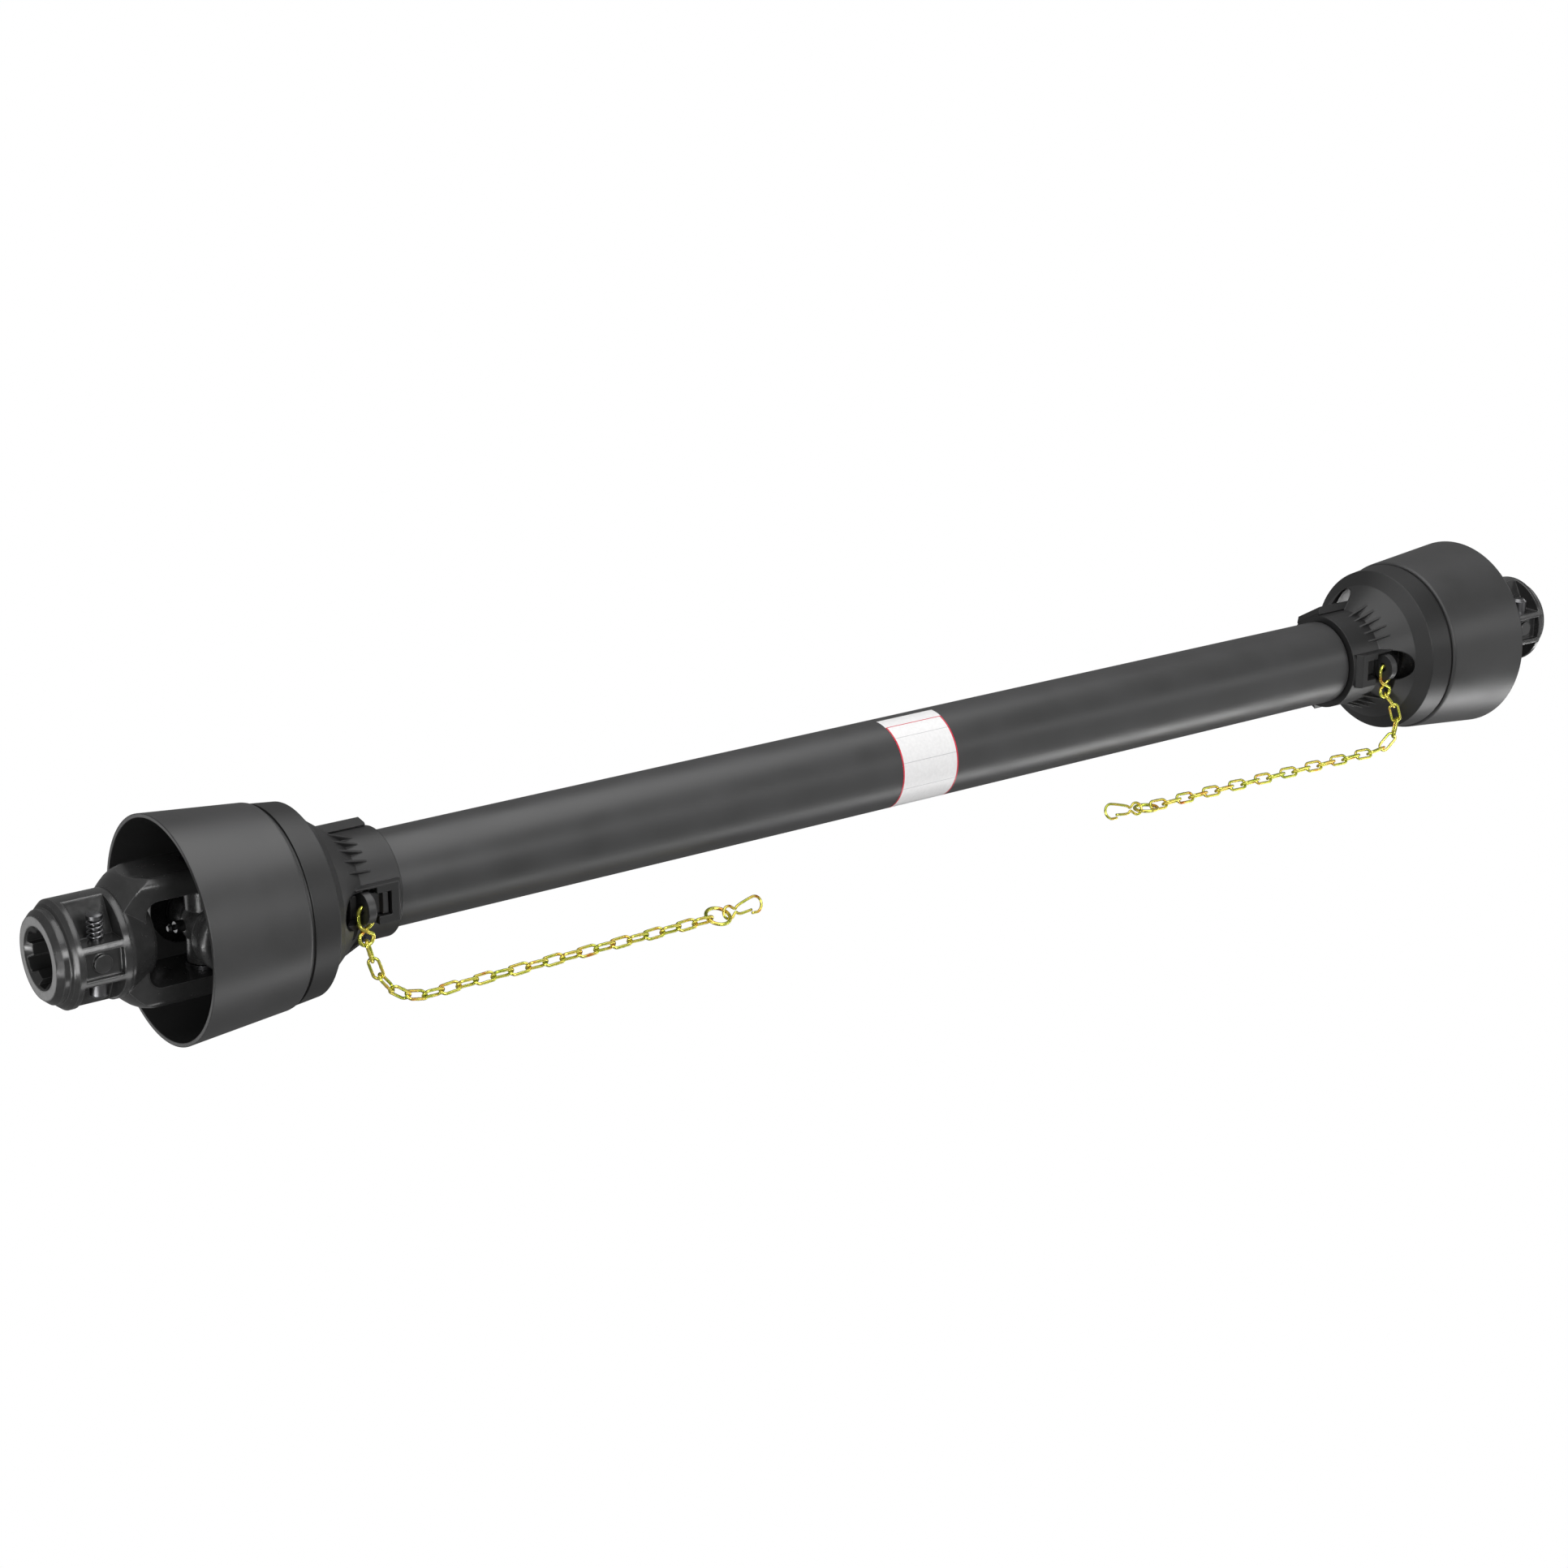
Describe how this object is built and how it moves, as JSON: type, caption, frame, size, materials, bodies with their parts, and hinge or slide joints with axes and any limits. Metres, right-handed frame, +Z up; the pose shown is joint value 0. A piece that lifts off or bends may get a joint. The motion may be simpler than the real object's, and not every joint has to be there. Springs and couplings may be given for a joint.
{
  "type": "pto drive shaft",
  "caption": "Telescopic tractor drive shaft with universal joints, splined quick-release yokes, plastic guard with bells, and holding chains.",
  "frame": {"origin": "on the floor, below the middle of the shaft, which lies on its two guard bells", "axes": "+X along the shaft from the tractor end to the implement end, +Z up, +Y away from the holding chains"},
  "size_m": [1.2, 0.1344, 0.1344],
  "materials": {
    "forged_steel": "black paint over a forged skin, worn at the edges",
    "bright_steel": "ground",
    "tube_steel": "drawn",
    "spring_steel": "oiled",
    "yellow_zinc": "yellow chromate plated",
    "black_plastic": "smooth, slight sheen",
    "ring_plastic": "smooth",
    "seal_rubber": "matt"
  },
  "bodies": {
    "guard_outer": {"outer_guard_tube": "black_plastic", "guard_cone_left": "black_plastic", "guard_bell_left": "black_plastic", "guard_bearing_left": "ring_plastic", "chain_hook_left": "yellow_zinc", "chain_links_left": "yellow_zinc", "chain_ring_left": "yellow_zinc", "snap_hook_left": "yellow_zinc"},
    "driveline_outer": {"outer_profile_tube": "tube_steel", "shaft_yoke_left": "forged_steel", "spring_pin_left": "spring_steel", "bearing_cups_shaft_yoke_left": "bright_steel", "circlips_shaft_yoke_left": "spring_steel"},
    "driveline_inner": {"inner_profile_tube": "tube_steel", "shaft_yoke_right": "forged_steel", "spring_pin_right": "spring_steel", "bearing_cups_shaft_yoke_right": "bright_steel", "circlips_shaft_yoke_right": "spring_steel"},
    "guard_inner": {"inner_guard_tube": "black_plastic", "guard_cone_right": "black_plastic", "guard_bell_right": "black_plastic", "guard_bearing_right": "ring_plastic", "chain_hook_right": "yellow_zinc", "chain_links_right": "yellow_zinc", "chain_ring_right": "yellow_zinc", "snap_hook_right": "yellow_zinc"},
    "cross_left": {"cross_left": "forged_steel", "grease_nipple_left": "bright_steel", "cross_seals_left": "seal_rubber"},
    "yoke_left": {"splined_yoke_left": "forged_steel", "bearing_cups_splined_yoke_left": "bright_steel", "circlips_splined_yoke_left": "spring_steel", "lock_spring_left": "spring_steel"},
    "pin_left": {"lock_pin_left": "bright_steel"},
    "cross_right": {"cross_right": "forged_steel", "grease_nipple_right": "bright_steel", "cross_seals_right": "seal_rubber"},
    "yoke_right": {"splined_yoke_right": "forged_steel", "bearing_cups_splined_yoke_right": "bright_steel", "circlips_splined_yoke_right": "spring_steel", "lock_spring_right": "spring_steel"},
    "pin_right": {"lock_pin_right": "bright_steel"}
  },
  "joints": [
    {"name": "driveline_spin", "type": "hinge", "parent": "guard_outer", "child": "driveline_outer", "pos_m": [0, 0, 0.0672], "axis": [1, 0, 0], "continuous": true},
    {"name": "telescope", "type": "slide", "parent": "driveline_outer", "child": "driveline_inner", "axis": [1, 0, 0], "range_m": [0, 0.36]},
    {"name": "guard_spin", "type": "hinge", "parent": "driveline_inner", "child": "guard_inner", "pos_m": [0, 0, 0.0672], "axis": [1, 0, 0], "continuous": true},
    {"name": "inner_pivot_left", "type": "hinge", "parent": "driveline_outer", "child": "cross_left", "pos_m": [-0.4995, 0, 0.0672], "axis": [0, 1, 0], "range_deg": [-26, 26]},
    {"name": "outer_pivot_left", "type": "hinge", "parent": "cross_left", "child": "yoke_left", "pos_m": [-0.4995, 0, 0.0672], "axis": [0, 0, 1], "range_deg": [-26, 26]},
    {"name": "lock_left", "type": "slide", "parent": "yoke_left", "child": "pin_left", "axis": [0, 0, -1], "range_m": [0, 0.007], "stiffness_N_per_m": 1500, "springref_m": -0.006, "deforming": ["lock_spring_left"]},
    {"name": "inner_pivot_right", "type": "hinge", "parent": "driveline_inner", "child": "cross_right", "pos_m": [0.4995, 0, 0.0672], "axis": [0, 1, 0], "range_deg": [-26, 26]},
    {"name": "outer_pivot_right", "type": "hinge", "parent": "cross_right", "child": "yoke_right", "pos_m": [0.4995, 0, 0.0672], "axis": [0, 0, 1], "range_deg": [-26, 26]},
    {"name": "lock_right", "type": "slide", "parent": "yoke_right", "child": "pin_right", "axis": [0, 0, 1], "range_m": [0, 0.007], "stiffness_N_per_m": 1500, "springref_m": -0.006, "deforming": ["lock_spring_right"]}
  ]
}
